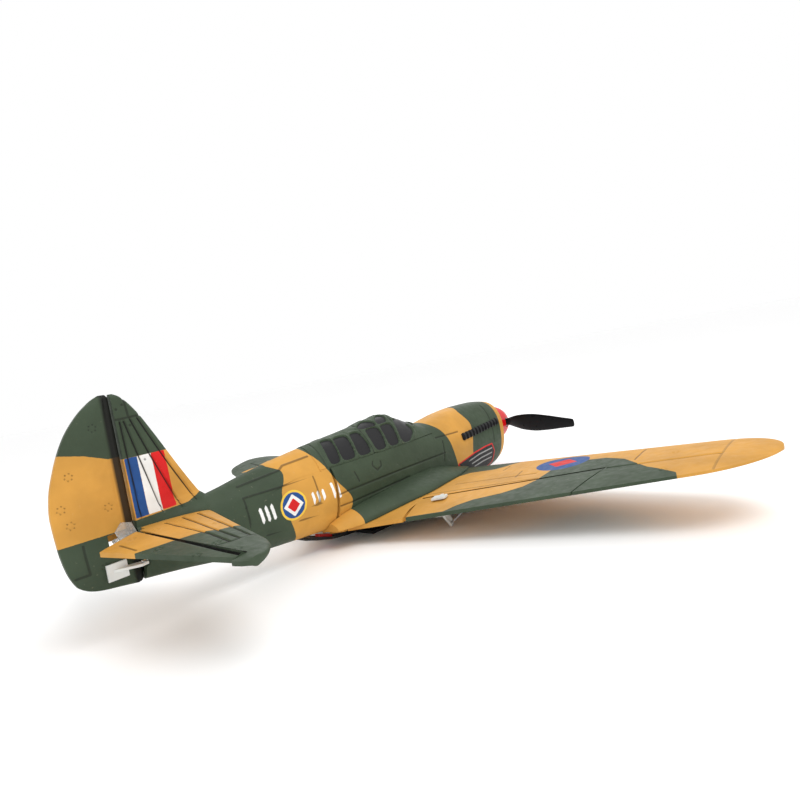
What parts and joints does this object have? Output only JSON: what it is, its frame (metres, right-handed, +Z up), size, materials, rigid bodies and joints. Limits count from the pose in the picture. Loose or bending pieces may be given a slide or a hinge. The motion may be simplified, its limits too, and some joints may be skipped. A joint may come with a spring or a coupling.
{
  "type": "rc warbird plane",
  "caption": "Small radio-controlled foam low-wing warbird with two-blade propeller, red spinner, black glazing, tan and green camouflage, moving ailerons, elevator and rudder.",
  "frame": {"origin": "under the middle of the model's box, on the surface that the battery tray rests on", "axes": "+X to starboard (right wing tip), +Y towards the nose, +Z up"},
  "size_m": [0.3832, 0.3082, 0.0944],
  "materials": {
    "foam_green": "painted moulded foam, matt",
    "foam_tan": "painted moulded foam, matt",
    "glazing_black": "satin black moulded panes",
    "plastic_black": "fine grain",
    "propeller_black": "smooth satin",
    "spinner_red": "gloss",
    "latch_red": "satin",
    "nylon_white": "moulded nylon",
    "clear_plastic": "frosted clear moulding",
    "steel_wire": "drawn wire",
    "brass": "machined",
    "carbon": "pultruded carbon fibre rod",
    "servo_blue": "translucent blue case",
    "motor_can": "plated can",
    "battery_wrap": "shrink sleeve",
    "circuit_board": "solder mask"
  },
  "bodies": {
    "airframe": {"fuselage_left": "foam_green", "fuselage_right": "foam_green", "canopy": "foam_green", "side_glazing_left": "glazing_black", "side_glazing_right": "glazing_black", "windscreen": "glazing_black", "roof_glazing": "glazing_black", "exhaust_left": "plastic_black", "exhaust_right": "plastic_black", "chin_intake": "plastic_black", "wing_left": "foam_tan", "wing_right": "foam_tan", "wing_fairing_left": "foam_green", "wing_fairing_right": "foam_green", "wing_spar": "carbon", "aileron_hinge_wire_left": "steel_wire", "aileron_hinge_wire_right": "steel_wire", "aileron_servo_left": "servo_blue", "aileron_servo_right": "servo_blue", "tailplane": "foam_tan", "elevator_hinge_pin_left": "steel_wire", "elevator_hinge_pin_right": "steel_wire", "elevator_servo": "servo_blue", "fin": "foam_green", "rudder_hinge_wire": "steel_wire", "rudder_servo": "servo_blue", "gearbox_frame": "nylon_white", "shaft_bush": "brass", "motor": "motor_can", "battery_tray": "plastic_black", "latch_plate": "plastic_black", "battery": "battery_wrap", "control_board": "circuit_board"},
    "propeller_train": {"propeller": "propeller_black", "spinner": "spinner_red", "propeller_shaft": "steel_wire", "propeller_screw": "steel_wire", "spur_gear": "nylon_white"},
    "motor_rotor": {"motor_pinion": "brass"},
    "aileron_right_panel": {"aileron_right": "foam_tan", "aileron_horn_right": "nylon_white", "aileron_horn_plate_right": "nylon_white"},
    "aileron_right_servo_arm": {"aileron_servo_arm_right": "nylon_white"},
    "aileron_right_pushrod": {"aileron_pushrod_right": "steel_wire"},
    "aileron_left_panel": {"aileron_left": "foam_tan", "aileron_horn_left": "nylon_white", "aileron_horn_plate_left": "nylon_white"},
    "aileron_left_servo_arm": {"aileron_servo_arm_left": "nylon_white"},
    "aileron_left_pushrod": {"aileron_pushrod_left": "steel_wire"},
    "elevator_panels": {"elevator_left": "foam_tan", "elevator_right": "foam_tan", "elevator_joiner": "clear_plastic"},
    "elevator_arm": {"elevator_servo_arm": "nylon_white"},
    "elevator_rod": {"elevator_pushrod": "steel_wire"},
    "rudder_panel": {"rudder": "foam_tan", "rudder_horn": "nylon_white"},
    "rudder_arm": {"rudder_servo_arm": "nylon_white"},
    "rudder_rod": {"rudder_pushrod": "steel_wire"},
    "hatch": {"battery_hatch": "plastic_black"},
    "latch": {"hatch_latch": "latch_red"}
  },
  "joints": [
    {"name": "propeller_spin", "type": "hinge", "parent": "airframe", "child": "propeller_train", "pos_m": [0, 0.1356, 0.032], "axis": [0, 1, 0], "continuous": true},
    {"name": "motor_spin", "type": "hinge", "parent": "airframe", "child": "motor_rotor", "pos_m": [0, 0.1356, 0.022], "axis": [0, 1, 0], "continuous": true},
    {"name": "aileron_right_hinge", "type": "hinge", "parent": "airframe", "child": "aileron_right_panel", "pos_m": [0.05, 0.00615, 0.0133], "axis": [0.9481, 0.3025, 0.0977], "range_deg": [-20, 20]},
    {"name": "aileron_right_servo_turn", "type": "hinge", "parent": "airframe", "child": "aileron_right_servo_arm", "pos_m": [0.03845, 0.04235, 0.0133], "axis": [0.9481, 0.3025, 0.0977], "range_deg": [-20.5, 20.5]},
    {"name": "aileron_right_rod_slide", "type": "slide", "parent": "airframe", "child": "aileron_right_pushrod", "axis": [-0.3039, 0.9527, 0], "range_m": [-0.004, 0.004]},
    {"name": "aileron_left_hinge", "type": "hinge", "parent": "airframe", "child": "aileron_left_panel", "pos_m": [-0.05, 0.00615, 0.0133], "axis": [0.9481, -0.3025, -0.0977], "range_deg": [-20, 20]},
    {"name": "aileron_left_servo_turn", "type": "hinge", "parent": "airframe", "child": "aileron_left_servo_arm", "pos_m": [-0.03845, 0.04235, 0.0133], "axis": [0.9481, -0.3025, -0.0977], "range_deg": [-20.5, 20.5]},
    {"name": "aileron_left_rod_slide", "type": "slide", "parent": "airframe", "child": "aileron_left_pushrod", "axis": [0.3039, 0.9527, 0], "range_m": [-0.004, 0.004]},
    {"name": "elevator_hinge", "type": "hinge", "parent": "airframe", "child": "elevator_panels", "pos_m": [0, -0.1289, 0.0374], "axis": [1, 0, 0], "range_deg": [-20, 20]},
    {"name": "elevator_servo_turn", "type": "hinge", "parent": "airframe", "child": "elevator_arm", "pos_m": [-0.0056, 0.0051, 0.0374], "axis": [1, 0, 0], "range_deg": [-20.5, 20.5]},
    {"name": "elevator_rod_slide", "type": "slide", "parent": "airframe", "child": "elevator_rod", "axis": [0, 1, 0], "range_m": [-0.0026, 0.0026]},
    {"name": "rudder_hinge", "type": "hinge", "parent": "airframe", "child": "rudder_panel", "pos_m": [0, -0.1287, 0.032], "axis": [0, 0, 1], "range_deg": [-20, 20]},
    {"name": "rudder_servo_turn", "type": "hinge", "parent": "airframe", "child": "rudder_arm", "pos_m": [0, -0.0207, 0.028], "axis": [0, 0, 1], "range_deg": [-20.5, 20.5]},
    {"name": "rudder_rod_slide", "type": "slide", "parent": "airframe", "child": "rudder_rod", "axis": [0, 1, 0], "range_m": [-0.0026, 0.0026]},
    {"name": "hatch_hinge", "type": "hinge", "parent": "airframe", "child": "hatch", "pos_m": [0, 0.0494, 0.0011], "axis": [1, 0, 0], "range_deg": [0, 75]},
    {"name": "latch_slide", "type": "slide", "parent": "airframe", "child": "latch", "axis": [0, -0.9611, 0.2763], "range_m": [0, 0.003]}
  ],
  "couplings": [
    {"joint": "motor_spin", "follows": "propeller_spin", "ratio": -4},
    {"joint": "aileron_right_servo_turn", "follows": "aileron_right_hinge", "ratio": 1},
    {"joint": "aileron_right_rod_slide", "follows": "aileron_right_hinge", "m_per_rad": 0.011},
    {"joint": "aileron_left_hinge", "follows": "aileron_right_hinge", "ratio": -1},
    {"joint": "aileron_left_servo_turn", "follows": "aileron_right_hinge", "ratio": -1},
    {"joint": "aileron_left_rod_slide", "follows": "aileron_right_hinge", "m_per_rad": -0.011},
    {"joint": "elevator_servo_turn", "follows": "elevator_hinge", "ratio": 1},
    {"joint": "elevator_rod_slide", "follows": "elevator_hinge", "m_per_rad": 0.007},
    {"joint": "rudder_servo_turn", "follows": "rudder_hinge", "ratio": 1},
    {"joint": "rudder_rod_slide", "follows": "rudder_hinge", "m_per_rad": 0.007}
  ]
}
